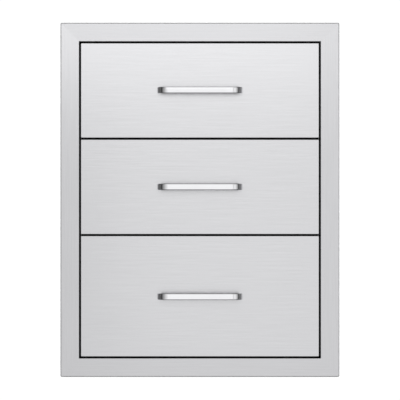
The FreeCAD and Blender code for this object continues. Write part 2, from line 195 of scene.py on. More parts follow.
# Screws and welds. A screw's shape is drawn for a head of radius 1 and height 1: its cross by
# radius and angle in one quarter, and its outside and its recess by radius and height.
slide_screw_head = (3.5, 1.6)
handle_screw_head = (4.0, 2.4)
SCREW_CROSS = ((0.46, -14.6), (0.48, 0.0), (0.46, 14.6), (0.3, 24.0), (0.17, 45.0), (0.3, 66.0))
SCREW_OUTSIDE = ((0.54, -1.4), (0.54, 0.0), (1.0, 0.0), (1.0, 0.35), (0.95, 0.6), (0.84, 0.8),
                 (0.7, 0.92), (0.56, 0.98))
SCREW_RECESS = ((1.0, 1.0), (0.85, 0.45))
weld_radius = 2.4
weld_rise = 0.25
weld_spacing = 55.0
weld_inset = 25.0
weld_drop = 1.0


def box(node):
    """The lowest and highest corner of a CAD node."""
    low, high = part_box(node)
    return low / MM, high / MM


def paint(hex_colour):
    """An sRGB hex colour as linear RGBA."""
    channels = [int(hex_colour[i:i + 2], 16) / 255 for i in (1, 3, 5)]
    return [c / 12.92 if c <= 0.04045 else ((c + 0.055) / 1.055) ** 2.4 for c in channels] + [1.0]


def add_object(name, data):
    """A new object in the scene."""
    made = bpy.data.objects.new(name, data)
    scene.collection.objects.link(made)
    return made


def add(tree, kind, inputs=None, **settings):
    """Adds a node with its settings. inputs gives its sockets values or links, and a node there
    stands for its first output."""
    node = tree.nodes.new(kind)
    for name, value in settings.items():
        setattr(node, name, value)
    for name, value in (inputs or {}).items():
        socket = node.inputs[name]
        if isinstance(value, bpy.types.Node):
            value = next(output for output in value.outputs if output.enabled)
        if isinstance(value, bpy.types.NodeSocket):
            tree.links.new(value, socket)
        else:
            socket.default_value = value
    return node


def blank_material(name):
    """A material, and its tree with no nodes in it."""
    material = bpy.data.materials.new(name)
    material.use_nodes = True
    material.node_tree.nodes.clear()
    return material, material.node_tree


def end_material(material, tone, dark, light, gloss, roughness, spread, inputs):
    """Ends a material: its tone mixes two colours, and its gloss moves the roughness by spread."""
    tree = material.node_tree
    colour = add(tree, "ShaderNodeMix", {
        "Factor": tone, "A": paint(dark), "B": paint(light)}, data_type="RGBA")
    rough = add(tree, "ShaderNodeMapRange", {
        "Value": gloss, **GLOSS_RANGE,
        "To Min": roughness - spread, "To Max": roughness + spread})
    shader = add(tree, "ShaderNodeBsdfPrincipled", {
        "Base Color": colour, "Roughness": rough, **inputs})
    add(tree, "ShaderNodeOutputMaterial", {"Surface": shader})
    return material


def brushed_steel(name, dark, light, roughness, anisotropy, grain, streak, wave):
    """Sheet with fine lines one way, so highlights spread across them, with fainter streaks and a
    slight waviness. grain and streak are a length and a width, and wave a height."""
    material, tree = blank_material(name)
    uv = add(tree, "ShaderNodeUVMap", uv_map="grain")
    patterns = []
    for (length, width), detail in ((streak, STREAK_DETAIL), (grain, SCRATCH_DETAIL)):
        stretched = add(tree, "ShaderNodeMapping", {
            "Vector": uv, "Scale": (1 / (length * MM), 1 / (width * MM), 1)})
        patterns.append(add(tree, "ShaderNodeTexNoise", {
            "Vector": stretched, "Scale": 1.0, "Detail": detail, "Roughness": LINE_ROUGHNESS}))
    streaks, scratches = patterns
    both = add(tree, "ShaderNodeMix", {
        "Factor": SCRATCH_SHARE, "A": streaks, "B": scratches}, data_type="FLOAT")
    tone = add(tree, "ShaderNodeMapRange", {"Value": both, **TONE_RANGE})
    place = add(tree, "ShaderNodeTexCoord").outputs["Object"]
    waves = add(tree, "ShaderNodeTexNoise", {
        "Vector": place, "Scale": 1 / (WAVE_LENGTH * MM), "Detail": 0.0})
    wavy = add(tree, "ShaderNodeBump", {"Height": waves, "Strength": 1.0, "Distance": wave * MM})
    scratched = add(tree, "ShaderNodeBump", {
        "Height": scratches, "Strength": SCRATCH_STRENGTH, "Distance": SCRATCH_DEPTH * MM,
        "Normal": wavy})
    tangent = add(tree, "ShaderNodeTangent", direction_type="UV_MAP", uv_map="grain")
    return end_material(material, tone, dark, light, both, roughness, BRUSHED_GLOSS, {
        "Metallic": 1.0, "Anisotropic": anisotropy, "Anisotropic Rotation": ACROSS_GRAIN,
        "Normal": scratched, "Tangent": tangent})


def grained(name, dark, light, roughness, spread, cloud, grain, relief, uniform):
    """A surface with no direction: its colour is softly clouded, and its gloss and relief have a
    fine grain."""
    material, tree = blank_material(name)
    place = add(tree, "ShaderNodeTexCoord").outputs["Object"]
    clouds = add(tree, "ShaderNodeTexNoise", {
        "Vector": place, "Scale": 1 / (cloud * MM), "Detail": GRAIN_DETAIL})
    grains = add(tree, "ShaderNodeTexNoise", {
        "Vector": place, "Scale": 1 / (grain * MM), "Detail": GRAIN_DETAIL,
        "Roughness": GRAIN_ROUGHNESS})
    bump = add(tree, "ShaderNodeBump", {
        "Height": grains, "Strength": GRAIN_STRENGTH, "Distance": relief * MM})
    return end_material(material, clouds, dark, light, grains, roughness, spread,
                        {"Normal": bump, **uniform})


METAL = {"Metallic": 1.0}
# Type 304 sheet brushed with a grit belt: a soft silver with fine lines, here from side to side.
# The lines of the real sheet are under 0.1 mm wide, too fine to show, so they are drawn coarser.
BELT = {"grain": (28.0, 0.25), "streak": (90.0, 2.2), "wave": 0.12}
FRONT_STEEL = brushed_steel("belt_brushed_stainless_fronts", "#c5c5c7", "#cdcdcf", 0.25, 0.35,
                            **BELT)
# The same sheet, brushed a little duller, so the frame is greyer than the fronts
FRAME_STEEL = brushed_steel("belt_brushed_stainless_frame", "#c2c2c4", "#cbcbcd", 0.29, 0.5,
                            **BELT)
# Sheet as it leaves the rolling mill: grey and dull, with long faint bands and no brushed lines
SHEET_STEEL = brushed_steel("cold_rolled_mill_stainless", "#a3a4a6", "#adaeb0", 0.36, 0.25,
                            grain=(9.0, 0.5), streak=(220.0, 6.0), wave=0.2)
# Stainless bar, buffed to a mirror: crisp reflections, with the faint haze of the buffing wheel
HANDLE_STEEL = grained("buffed_mirror_stainless", "#dadadc", "#e1e1e3", 0.07, 0.01,
                       cloud=30.0, grain=1.5, relief=0.03, uniform=METAL)
# Bright zinc plate: a cool grey that turns faintly warm in places, with the grain of its
# crystals, which is drawn coarser than the real one
ZINC = grained("bright_zinc_plate", "#a1a7af", "#b6b7b5", 0.27, 0.035,
               cloud=14.0, grain=1.2, relief=0.024, uniform=METAL)
# Ground and polished bearing balls: a bright clean point of light on each
BALL_STEEL = grained("polished_bearing_steel", "#c2c4c8", "#d0d2d6", 0.08, 0.01,
                     cloud=3.0, grain=0.6, relief=0.012, uniform=METAL)
# Screws tumbled after heading: satin, with a fine even grit
SCREW_STEEL = grained("tumbled_stainless_screws", "#a8aaac", "#bcbdbf", 0.24, 0.03,
                      cloud=2.5, grain=0.5, relief=0.01, uniform=METAL)
# Acetal, injection moulded in black: a smooth skin with a soft sheen
LEVER_PLASTIC = grained("moulded_black_acetal", "#121213", "#1c1c1d", 0.4, 0.06,
                        cloud=4.0, grain=0.4, relief=0.03, uniform={"IOR": 1.48})
# Extruded EPDM rubber, deep in the gaps, drawn near black with next to no gloss. This is painted
# shade that blackens the gaps round the fronts.
GAP_SHADE_RUBBER = grained("epdm_rubber_as_gap_shade", "#020202", "#060606", 0.88, 0.06,
                      cloud=5.0, grain=0.6, relief=0.05,
                      uniform={"IOR": 1.52, "Specular IOR Level": 0.1})


def arc(u, v, radius, start, end):
    """Points of an arc from one angle to another, in degrees."""
    count = max(2, round(abs(end - start) / ARC_STEP))
    turns = [radians(start + (end - start) * i / count) for i in range(count + 1)]
    return [(u + radius * cos(t), v + radius * sin(t)) for t in turns]


def outline(half_u, half_v, corner):
    """A rectangle with round corners."""
    points = []
    for quarter, (side, end) in enumerate(((1, 1), (-1, 1), (-1, -1), (1, -1))):
        for i in range(CORNER_STEPS + 1):
            turn = radians(90 * (quarter + i / CORNER_STEPS))
            points.append((side * (half_u - corner) + corner * cos(turn),
                           end * (half_v - corner) + corner * sin(turn)))
    return points


def circle(u, v, radius):
    turns = [2 * pi * i / CIRCLE_STEPS for i in range(CIRCLE_STEPS)]
    return [(u + radius * cos(t), v + radius * sin(t)) for t in turns]


def slot_hole(u, v, length, radius):
    """The outline of a slot that runs along u."""
    run = length / 2 - radius
    return arc(u + run, v, radius, -90, 90) + arc(u - run, v, radius, 90, 270)


def route(stations, offset):
    """A bent sheet's line, moved to its left by offset. A station is an end point (u, v), or a
    bend (u, v, radius, from angle, to angle), and straight runs join them."""
    bends = [arc(*s) if len(s) == 5 else [s] for s in stations]
    line = []
    for i, station in enumerate(stations):
        if len(station) == 5:
            u, v, radius, start, end = station
            line += arc(u, v, radius - offset if end > start else radius + offset, start, end)
            continue
        a, b = (station, bends[1][0]) if i == 0 else (bends[i - 1][-1], station)
        way = (Vector(b) - Vector(a)).normalized()
        line.append((station[0] - way.y * offset, station[1] + way.x * offset))
    return [p for i, p in enumerate(line) if i == 0 or dist(p, line[i - 1]) > SAME_POINT]


def whole(upper):
    """The stations of a section that is alike on both sides of v = 0, from its upper half."""
    lower = []
    for station in reversed(upper):
        bend = (station[2], -station[4], -station[3]) if len(station) == 5 else ()
        lower.append((station[0], -station[1]) + bend)
    return lower + upper


def facing_front(points, y, z=0.0):
    """Points (x, z) as a ring that faces the front."""
    return [(u, y, z + v) for u, v in points]


def round_frame(section, half_x, half_z, corner, z=0.0):
    """The rings of a section that runs round a rectangle, as (inset, y). Its corners get tighter
    inwards."""
    return [facing_front(outline(half_x - inset, half_z - inset,
                                 max(corner - inset, tight_corner)), y, z)
            for inset, y in section]


def add_ring(bm, points):
    return [bm.verts.new(p) for p in points]


def bridge(bm, *rings, closed=True):
    """Faces between rings, or between lines, that have as many points each."""
    for a, b in zip(rings, rings[1:]):
        for i in range(len(a) if closed else len(a) - 1):
            j = (i + 1) % len(a)
            bm.faces.new((a[i], a[j], b[j], b[i]))


def fill(bm, *loops):
    """A flat inside the first loop, with the other loops as its holes."""
    edges = []
    for loop in loops:
        for i, a in enumerate(loop):
            b = loop[(i + 1) % len(loop)]
            edges.append(bm.edges.get((a, b)) or bm.edges.new((a, b)))
    bmesh.ops.triangle_fill(bm, use_beauty=True, edges=edges)


def loft(rings, closed=False):
    """Skins rings that have as many points each. The ends are capped, unless they meet."""
    bm = bmesh.new()
    rows = [add_ring(bm, ring) for ring in rings]
    if closed:
        bridge(bm, *rows, rows[0])
    else:
        bridge(bm, *rows)
        fill(bm, rows[0])
        fill(bm, rows[-1])
    bmesh.ops.recalc_face_normals(bm, faces=bm.faces)
    return bm


def thicken(bm, sheet, drawn_side):
    """Gives a surface its sheet's thickness. It was drawn as the side that faces drawn_side."""
    bmesh.ops.recalc_face_normals(bm, faces=bm.faces)
    side = Vector(drawn_side)
    largest = max(bm.faces, key=lambda f: f.calc_area() * abs(f.normal.dot(side)))
    if largest.normal.dot(side) < 0:
        bmesh.ops.reverse_faces(bm, faces=bm.faces)
    bmesh.ops.solidify(bm, geom=bm.faces[:], thickness=sheet)
    return bm


def bent_strip(stations, sheet, place, ends, drawn_side, holes=()):
    """A bent sheet swept between two ends. place turns (u, v) and a distance along it into a
    point. The middle run of a section that is alike on both sides may have holes."""
    line = route(stations, sheet / 2)
    web = len(line) // 2 - 1 if holes else None
    bm = bmesh.new()
    first, last = [add_ring(bm, [place(u, v, end) for u, v in line]) for end in ends]
    for i in range(len(line) - 1):
        edge = (first[i], first[i + 1], last[i + 1], last[i])
        if i == web:
            u = line[i][0]
            fill(bm, edge, *[add_ring(bm, [place(u, v, along) for along, v in hole])
                             for hole in holes])
        else:
            bm.faces.new(edge)
    return thicken(bm, sheet, drawn_side)


def handed_copy(shape, hand, up=0.0):
    """A copy of a right-hand shape, moved up, and mirrored where its hand is -1."""
    copy = shape.copy()
    copy.transform(Matrix.Translation((0, 0, up)) @ Matrix.Scale(hand, 4, (1, 0, 0)))
    if hand < 0:
        bmesh.ops.reverse_faces(copy, faces=copy.faces)
    return copy


def pressed(half_u, half_v, corner):
    """The outlines of a form pressed into a sheet, each with its depth, from its foot to its flat."""
    reach = press_bend * tan(radians(PRESS_SLOPE / 2))
    turns = [radians(turn) for turn in (0.0, PRESS_SLOPE / 2, PRESS_SLOPE)]
    steps = [(press_bend * sin(a) - reach, press_bend * (1 - cos(a))) for a in turns]
    steps += [(pad_rise - i, pad_rise - d) for i, d in reversed(steps)]
    return [(outline(half_u - i, half_v - i, corner - i), d) for i, d in steps]


def lay_grain(bm, along):
    """Gives a shape its grain map, in metres: u runs with the grain and v across it. along is the
    grain's axis, or says which for a place."""
    layer = bm.loops.layers.uv.new("grain")
    for face in bm.faces:
        axis = along(face.calc_center_median()) if callable(along) else along
        for loop in face.loops:
            p = loop.vert.co * MM
            loop[layer].uv = (p[axis], sum(p) - p[axis])
    return bm


def piece(name, body, shapes, node=None, along=Y):
    """Joins shapes, each with its material, into one object that rides on a body in place of a
    CAD node. The grain of a shape that has none yet runs along an axis."""
    joined = bmesh.new()
    materials = []
    for shape, material in shapes:
        if not shape.loops.layers.uv.get("grain"):
            lay_grain(shape, along)
        if material not in materials:
            materials.append(material)
        for face in shape.faces:
            face.material_index = materials.index(material)
            face.smooth = True
        mesh = bpy.data.meshes.new(name)
        shape.to_mesh(mesh)
        shape.free()
        joined.from_mesh(mesh)
        bpy.data.meshes.remove(mesh)
    joined.transform(Matrix.Scale(MM, 4))
    mesh = bpy.data.meshes.new(name)
    joined.to_mesh(mesh)
    joined.free()
    for material in materials:
        mesh.materials.append(material)
    mesh.set_sharp_from_angle(angle=radians(SHARP_ANGLE))
    made = add_object(name, mesh)
    made.modifiers.new("flats", "WEIGHTED_NORMAL").keep_sharp = True
    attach(made, body)
    if node:
        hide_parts(node)


def face_frame():
    """The border, with an outer fold back to the island and an inner one into the opening. The
    uprights are brushed up and down, and the rails from side to side."""
    low, high = box("face_frame")
    opening = box("frame_seal")[1]
    border = high.x - opening.x
    face = low.y
    fold = frame_edge_radius
    edge = opening_edge_radius
    inside = border - frame_sheet
    section = [(0, 0), *arc(fold, face + fold, fold, 180, 270),
               *arc(border - edge, face + edge, edge, 270, 360),
               (border, high.y), (inside, high.y), (inside, face + frame_sheet),
               *reversed(arc(fold, face + fold, fold - frame_sheet, 180, 270)),
               (frame_sheet, 0)]

    def along(p):
        return Z if high.x - abs(p.x) < high.z - abs(p.z) else X

    rings = round_frame(section, high.x, high.z, frame_corner_radius)
    return lay_grain(loft(rings, closed=True), along)


def front_skin(drawer):
    """A drawer front's face, with a fold back on all four sides."""
    low, high = box(f"{drawer}_front_skin")
    middle = (low.z + high.z) / 2
    face = low.y
    edge = front_edge_radius
    section = arc(edge, face + edge, edge, 270, 180)
    section += [(0, high.y), (front_sheet, high.y), (front_sheet, face + front_sheet)]
    return loft(round_frame(section, high.x, (high.z - low.z) / 2, front_corner_radius, middle))


def bar_handle(drawer, tree):
    """A bar with bevelled edges, bent back to the front at both ends."""
    low, high = box(f"{drawer}_handle")
    middle = (low.z + high.z) / 2
    leg = high.x - handle_depth / 2
    bar = low.y + handle_depth / 2
    foot = high.y + handle_foot_sink
    seats = [((x, y, middle), (0, 0, 1)) for x, y in
             ((-leg, foot), (-leg, bar), (leg, bar), (leg, foot))]
    return grow(tree, seats, {
        "Bend Radius": handle_bend_radius - handle_depth / 2, "Bar Height": high.z - low.z,
        "Bar Depth": handle_depth, "Bevel": handle_bevel, "Bevel Round": handle_bevel_round,
        "Finish": HANDLE_STEEL}, [(0, 1), (1, 2), (2, 3)])


def tray(node, bend):
    """A pan with its folds to the front and its flat to the back."""
    low, high = box(node)
    middle = (low.z + high.z) / 2
    section = [(0, low.y)] + arc(bend, high.y - bend, bend, 180, 90)
    bm = bmesh.new()
    rings = [add_ring(bm, ring) for ring in round_frame(
        section, high.x, high.z - middle, bend + tight_corner, middle)]
    bridge(bm, *rings)
    return bm, rings[-1]


def drawer_liner(drawer):
    """The inner pan that closes the back of a front."""
    bm, flat = tray(f"{drawer}_front_liner", liner_bend)
    fill(bm, flat)
    return thicken(bm, liner_sheet, (0, 1, 0))


def end_wall(stations, half, corner, floor):
    """A tub's end wall, with round lower corners and its top edge bent back."""
    line = route(stations, tub_sheet / 2)[1:]
    bm = bmesh.new()
    left, right = [add_ring(bm, [(x, u, v) for u, v in line]) for x in (-half, half)]
    bridge(bm, left, right, closed=False)
    y = line[0][0]
    foot = arc(-half + corner, floor + corner, corner, 180, 270)
    foot += arc(half - corner, floor + corner, corner, 270, 360)
    fill(bm, [left[0]] + add_ring(bm, facing_front(foot, y)) + [right[0]])
    return thicken(bm, tub_sheet, (0, -1, 0))


def drawer_tub(drawer):
    """Floor and sides in one bent sheet with rolled rims, and two end walls."""
    low, high = box(f"{drawer}_tub")
    slide_low = box(f"{drawer}_right_drawer_slide")[0]
    middle = tub_sheet / 2
    side = slide_low.x - middle
    floor = low.z + middle
    rim = high.z - middle
    bend = rim_bend_radius
    section = [
        (floor + tub_corner_radius, side - tub_corner_radius, tub_corner_radius, 180, 90),
        (rim - bend, side + bend, bend, 270, 360),
        (rim - bend, side + rim_width - bend, bend, 0, 90),
        (rim - rim_drop, side + rim_width)]
    end = high.y - middle
    body = bent_strip(whole(section), tub_sheet, lambda u, v, y: (v, y, u), (low.y, end),
                      (0, 0, -1))
    front = low.y + middle
    back = end - rim_width
    top = rim - back_wall_lower
    walls = [[(front, low.z), (front + bend, rim - bend, bend, 180, 90),
              (front + front_wall_rim, rim)],
             [(back, low.z), (back + bend, top - bend, bend, 180, 90),
              (end - bend, top - bend, bend, 90, 0), (end, top - rim_drop)]]
    return [body] + [end_wall(wall, slide_low.x - tub_sheet, tub_corner_radius - middle,
                              low.z + tub_sheet) for wall in walls]


def cabinet_side():
    """The right side: a sheet with a pad pressed inwards under each slide, and with holes for the
    slides' screws and for those that go out into the island's frame."""
    low, high = box("right_side_panel")
    bm = bmesh.new()

    def ring(points, depth=0.0):
        return add_ring(bm, [(high.x - depth, u, v) for u, v in points])

    mount_y = box("face_frame")[1].y + mount_hole_back
    holes = [ring(circle(mount_y, z, mount_hole_radius))
             for z in (-mount_hole_height, mount_hole_height)]
    for drawer in DRAWERS:
        slide_low, slide_high = box(f"{drawer}_right_cabinet_slide")
        middle = (slide_low + slide_high) / 2
        half = (slide_high - slide_low) / 2
        pad = pressed(half.y + pad_margin, half.z + pad_margin, pad_corner)
        rings = [ring([(middle.y + u, middle.z + v) for u, v in points], depth)
                 for points, depth in pad]
        bridge(bm, *rings)
        fill(bm, rings[-1], *[ring(circle(slide_low.y + at, middle.z, screw_radius), pad_rise)
                              for at in slide_screws_at])
        holes.append(rings[0])
    edge = [(low.y, low.z), (high.y, low.z), (high.y, high.z), (low.y, high.z)]
    fill(bm, ring(edge), *holes)
    return thicken(bm, panel_sheet, (1, 0, 0))


def cabinet_pan(node, up):
    """The top or the bottom: a pan that laps over the sides and the back, open at the front."""
    low, high = box(node)
    flat = high.z if up > 0 else low.z
    corner = panel_bend + tight_corner
    bm = bmesh.new()
    rows = []
    for inset, depth in [(0, high.z - low.z)] + arc(panel_bend, panel_bend, panel_bend, 180, 270):
        right = arc(high.x - corner, high.y - corner, corner - inset, 90, 0)
        right.append((high.x - inset, low.y))
        line = [(-x, y) for x, y in reversed(right)] + right
        rows.append(add_ring(bm, [(x, y, flat - up * depth) for x, y in line]))
    bridge(bm, *rows, closed=False)
    fill(bm, rows[-1])
    return thicken(bm, panel_sheet, (0, 0, up))


def cabinet_back():
    """A pan set between the sides, with two pressed stiffening beads."""
    high = box("back_panel")[1]
    bm, flat = tray("back_panel", panel_bend)
    bead = pressed(high.x - bead_inset, bead_height / 2, bead_corner)
    holes = []
    for z in (-high.z / 2, high.z / 2):
        rings = [add_ring(bm, facing_front(points, high.y - depth, z)) for points, depth in bead]
        bridge(bm, *rings)
        fill(bm, rings[-1])
        holes.append(rings[0])
    fill(bm, flat, *holes)
    return thicken(bm, panel_sheet, (0, 1, 0))


def divider_rail(node):
    """A channel between the sides, its web to the front, behind a gap between the drawers."""
    low, high = box(node)
    middle = (low.z + high.z) / 2
    web = low.y + rail_sheet / 2
    flange = (high.z - low.z) / 2 - rail_sheet / 2
    bend = rail_bend_radius
    upper = [(web + bend, flange - bend, bend, 180, 90), (high.y, flange)]
    return bent_strip(whole(upper), rail_sheet, lambda u, v, x: (x, u, middle + v),
                      (low.x, high.x), (0, -1, 0))


def ribbed(start, end, back, front, ribs):
    """Points (along, out) of round ribs from start to end that stand out from back to front."""
    pitch = (end - start) / ribs
    turns = [radians(turn) for turn in range(180, 0, -RIB_STEP)]
    return [(start + pitch * (i + 0.5) + pitch / 2 * cos(a), back + (front - back) * sin(a))
            for i in range(ribs) for a in turns] + [(end, back)]


def jamb_gasket():
    """The seal round the inside of the jamb, ribbed towards the fronts' edges. Its near-black rubber
    is painted shade in the gaps.
    """
    low, high = box("frame_seal")
    section = [(0.0, high.y), (0.0, low.y)]
    section += [(depth, y) for y, depth in ribbed(low.y, high.y, seal_thickness - seal_rib,
                                                  seal_thickness, seal_ribs)]
    return loft(round_frame(section, high.x, high.z, tight_corner), closed=True)


def divider_gasket(rail):
    """The seal on a divider rail's face, ribbed towards the drawers' fronts. Its near-black rubber is
    painted shade in the gaps.
    """
    low, high = box("divider_seals")
    rail_low, rail_high = box(rail)
    z = (rail_low.z + rail_high.z) / 2
    half = (rail_high.z - rail_low.z) / 2 - divider_seal_margin
    section = [(high.y, z + half), (high.y, z - half)]
    section += [(y, up) for up, y in ribbed(z - half, z + half, low.y + seal_rib, low.y,
                                            divider_seal_ribs)]
    return loft([[(x, y, up) for y, up in section] for x in (low.x, high.x)])


# The right-hand slide's measures
slide_low, slide_high = box("top_right_cabinet_slide")
slide_length = slide_high.y - slide_low.y
slide_thickness = slide_high.x - box("top_right_drawer_slide")[0].x
web_face = slide_thickness - slide_sheet
middle_low, middle_high = box("top_right_middle_slide")
lever_low, lever_high = box("top_right_release_lever")
lever_thickness = lever_high.x - lever_low.x
retainer_low, retainer_high = [box("top_outer_ball_rows")[i].y - slide_low.y for i in (0, 1)]
inner_row_height = outer_row_height - sqrt(
    (2 * race_radius + middle_sheet) ** 2 - (inner_row_out - outer_row_out) ** 2)


def on_slide(out, height, along):
    """A point of the right-hand slide, from its distance out from the cabinet's wall, its height
    from the slide's middle and its place along it."""
    return slide_high.x - out, slide_low.y + along, height


def member(upper, sheet, length, holes, slots):
    """A slide's member, bent from sheet, from the upper half of its section."""
    cuts = [circle(at, 0, radius) for places, radius in holes for at in places]
    places, heights, long, radius = slots
    cuts += [slot_hole(at, height, long, radius) for at in places for height in heights]
    return bent_strip(whole(upper), sheet, on_slide, (0, length), (1, 0, 0), cuts)


def cabinet_member():
    """The member on the cabinet: a web and two flanges that hook over the outer balls."""
    middle = slide_sheet / 2
    race = race_radius + middle
    top = outer_row_height + race
    bend = slide_bend_radius
    upper = [(middle + bend, top - bend, bend, 180, 90),
             (outer_row_out, outer_row_height, race, 90, cabinet_lip_angle)]
    return member(upper, slide_sheet, slide_length, cabinet_holes, cabinet_slots)


def middle_member():
    """The member between: each flange waves under the outer balls and over the inner balls."""
    race = race_radius + middle_sheet / 2
    flange = outer_row_height - race
    lean = degrees(atan2(inner_row_height - outer_row_height, inner_row_out - outer_row_out))
    bend = middle_bend_radius
    upper = [(middle_web_out + bend, flange - bend, bend, 180, 90),
             (outer_row_out, outer_row_height, race, 270, 360 + lean),
             (inner_row_out, inner_row_height, race, 180 + lean, middle_lip_angle)]
    return member(upper, middle_sheet, middle_high.y - middle_low.y, middle_holes, middle_slots)


def drawer_member():
    """The member on the drawer, whose flanges hook under the inner balls."""
    middle = slide_sheet / 2
    web = slide_thickness - middle
    race = race_radius + middle
    flange = inner_row_height - race
    bend = slide_bend_radius
    upper = [(web - bend, flange - bend, bend, 0, 90),
             (inner_row_out, inner_row_height, race, 270, drawer_lip_angle)]
    return member(upper, slide_sheet, slide_length, drawer_holes, drawer_slots)


def slide_ring(out, points):
    """Points (along, height) at a distance out from the cabinet's wall."""
    return [on_slide(out, height, along) for along, height in points]


def lever_pin():
    """The pin on the drawer member's web, with a round head over the lever."""
    radius = lever_bore - lever_play
    neck = web_face - lever_thickness - lever_play
    section = [(web_face + slide_sheet / 2, radius), (neck, radius), (neck, lever_pin_head),
               (neck - lever_pin_head_height * lever_pin_straight, lever_pin_head),
               (neck - lever_pin_head_height, lever_pin_head * lever_pin_top)]
    return loft([slide_ring(out, circle(lever_at, 0, size)) for out, size in section])


def lever_arm():
    """A moulded lever that tapers back from its boss to its tail, with soft edges."""
    side = 90 - degrees(asin((lever_boss_radius - lever_tail_radius) / lever_tail))
    face = web_face - lever_thickness
    bulge = lever_edge * lever_edge_bulge
    soft = [(0, lever_edge), (bulge, bulge), (lever_edge, 0)]
    layers = [(web_face - out, inset) for out, inset in soft]
    layers += [(face + out, inset) for out, inset in reversed(soft)]
    bm = bmesh.new()
    rings = []
    for out, inset in layers:
        boss = arc(lever_at, 0, lever_boss_radius - inset, side, 360 - side)
        tail = arc(lever_at + lever_tail, 0, lever_tail_radius - inset, -side, side)
        rings.append(add_ring(bm, slide_ring(out, boss + tail)))
    bores = [add_ring(bm, slide_ring(out, circle(lever_at, 0, lever_bore)))
             for out in (web_face, face)]
    bridge(bm, *rings)
    bridge(bm, bores[1], bores[0])
    fill(bm, rings[0], bores[0])
    fill(bm, rings[-1], bores[1])
    bmesh.ops.recalc_face_normals(bm, faces=bm.faces)
    return bm


def retainer_strip(out, height, tall):
    """The strip that keeps a row of balls apart, on the cabinet's side of them."""
    middle = out - retainer_room - retainer_thickness / 2
    points = outline(retainer_thickness / 2, tall / 2, retainer_corner)
    return loft([[on_slide(middle + u, height + v, along) for u, v in points]
                 for along in (retainer_low, retainer_high)])


def screw_shape():
    """A pan-head screw with a cross recess, whose head sits at the origin and faces up Z."""
    corners = [(reach, radians(angle + 90 * q)) for q in range(4) for reach, angle in SCREW_CROSS]
    rings = [[(r * cos(t), r * sin(t), z) for reach, t in corners] for r, z in SCREW_OUTSIDE]
    rings += [[(reach * shrink * cos(t), reach * shrink * sin(t), z) for reach, t in corners]
              for shrink, z in SCREW_RECESS]
    return loft(rings)


def seat_tree(name, sizes, **others):
    """A new tree and its named inputs: its seats, its sizes, others by their kind, its finish."""
    tree = bpy.data.node_groups.new(name, "GeometryNodeTree")
    sockets = {"Geometry": "Geometry", **dict.fromkeys(sizes, "Float"), **others,
               "Finish": "Material"}
    for socket, kind in sockets.items():
        tree.interface.new_socket(socket, in_out="INPUT", socket_type=f"NodeSocket{kind}")
    tree.interface.new_socket("Geometry", in_out="OUTPUT", socket_type="NodeSocketGeometry")
    return tree, add(tree, "NodeGroupInput").outputs


def facing_turn(tree):
    """The turn that stands a thing's Z along the way its seat faces."""
    way = add(tree, "GeometryNodeInputNamedAttribute", {"Name": "facing"},
              data_type="FLOAT_VECTOR")
    return add(tree, "FunctionNodeAlignRotationToVector", {"Vector": way}, axis="Z")


def stand(tree, given, points, shape, turn, width, height):
    """Stands a shape on each point, with a turn, and with the width and height of two inputs."""
    size = add(tree, "ShaderNodeCombineXYZ", {
        "X": given[width], "Y": given[width], "Z": given[height]})
    return add(tree, "GeometryNodeInstanceOnPoints", {
        "Points": points, "Instance": shape, "Rotation": turn, "Scale": size})


def finished(tree, shapes, given):
    """Ends a tree: its shapes are made real and get their finish."""
    real = add(tree, "GeometryNodeRealizeInstances", {"Geometry": shapes})
    dressed = add(tree, "GeometryNodeSetMaterial", {
        "Geometry": real, "Material": given["Finish"]})
    add(tree, "NodeGroupOutput", {"Geometry": dressed})
    return tree


def bent_bar_tree():
    """A bar swept along the seats' line, with its bends and its bevelled section."""
    tree, given = seat_tree("bent_bar", (
        "Bend Radius", "Bar Height", "Bar Depth", "Bevel", "Bevel Round"))
    line = add(tree, "GeometryNodeMeshToCurve", {"Mesh": given["Geometry"]})
    bent = add(tree, "GeometryNodeFilletCurve", {
        "Curve": line, "Radius": given["Bend Radius"], "Count": BEND_STEPS}, mode="POLY")
    upright = add(tree, "GeometryNodeSetCurveNormal", {"Curve": bent}, mode="Z_UP")
    section = add(tree, "GeometryNodeCurvePrimitiveQuadrilateral", {
        "Width": given["Bar Depth"], "Height": given["Bar Height"]})
    for size, steps in (("Bevel", BEVEL_STEPS), ("Bevel Round", BEVEL_ROUND_STEPS)):
        section = add(tree, "GeometryNodeFilletCurve", {
            "Curve": section, "Radius": given[size], "Count": steps}, mode="POLY")
    bar = add(tree, "GeometryNodeCurveToMesh", {
        "Curve": upright, "Profile Curve": section, "Fill Caps": True})
    return finished(tree, bar, given)


def screws_tree():
    """Screws on their seats, each driven home to its own turn."""
    tree, given = seat_tree("pan_head_screws", ("Head Radius", "Head Height"), Screw="Object",
                            Seed="Int")
    shape = add(tree, "GeometryNodeObjectInfo", {"Object": given["Screw"]})
    spin = add(tree, "FunctionNodeRandomValue", {
        "Max": pi / 2, "Seed": given["Seed"]}, data_type="FLOAT")
    own_turn = add(tree, "FunctionNodeAxisAngleToRotation", {"Axis": (0, 0, 1), "Angle": spin})
    turn = add(tree, "FunctionNodeRotateRotation", {
        "Rotation": facing_turn(tree), "Rotate By": own_turn}, rotation_space="LOCAL")
    placed = stand(tree, given, given["Geometry"], shape.outputs["Geometry"], turn,
                   "Head Radius", "Head Height")
    return finished(tree, placed, given)


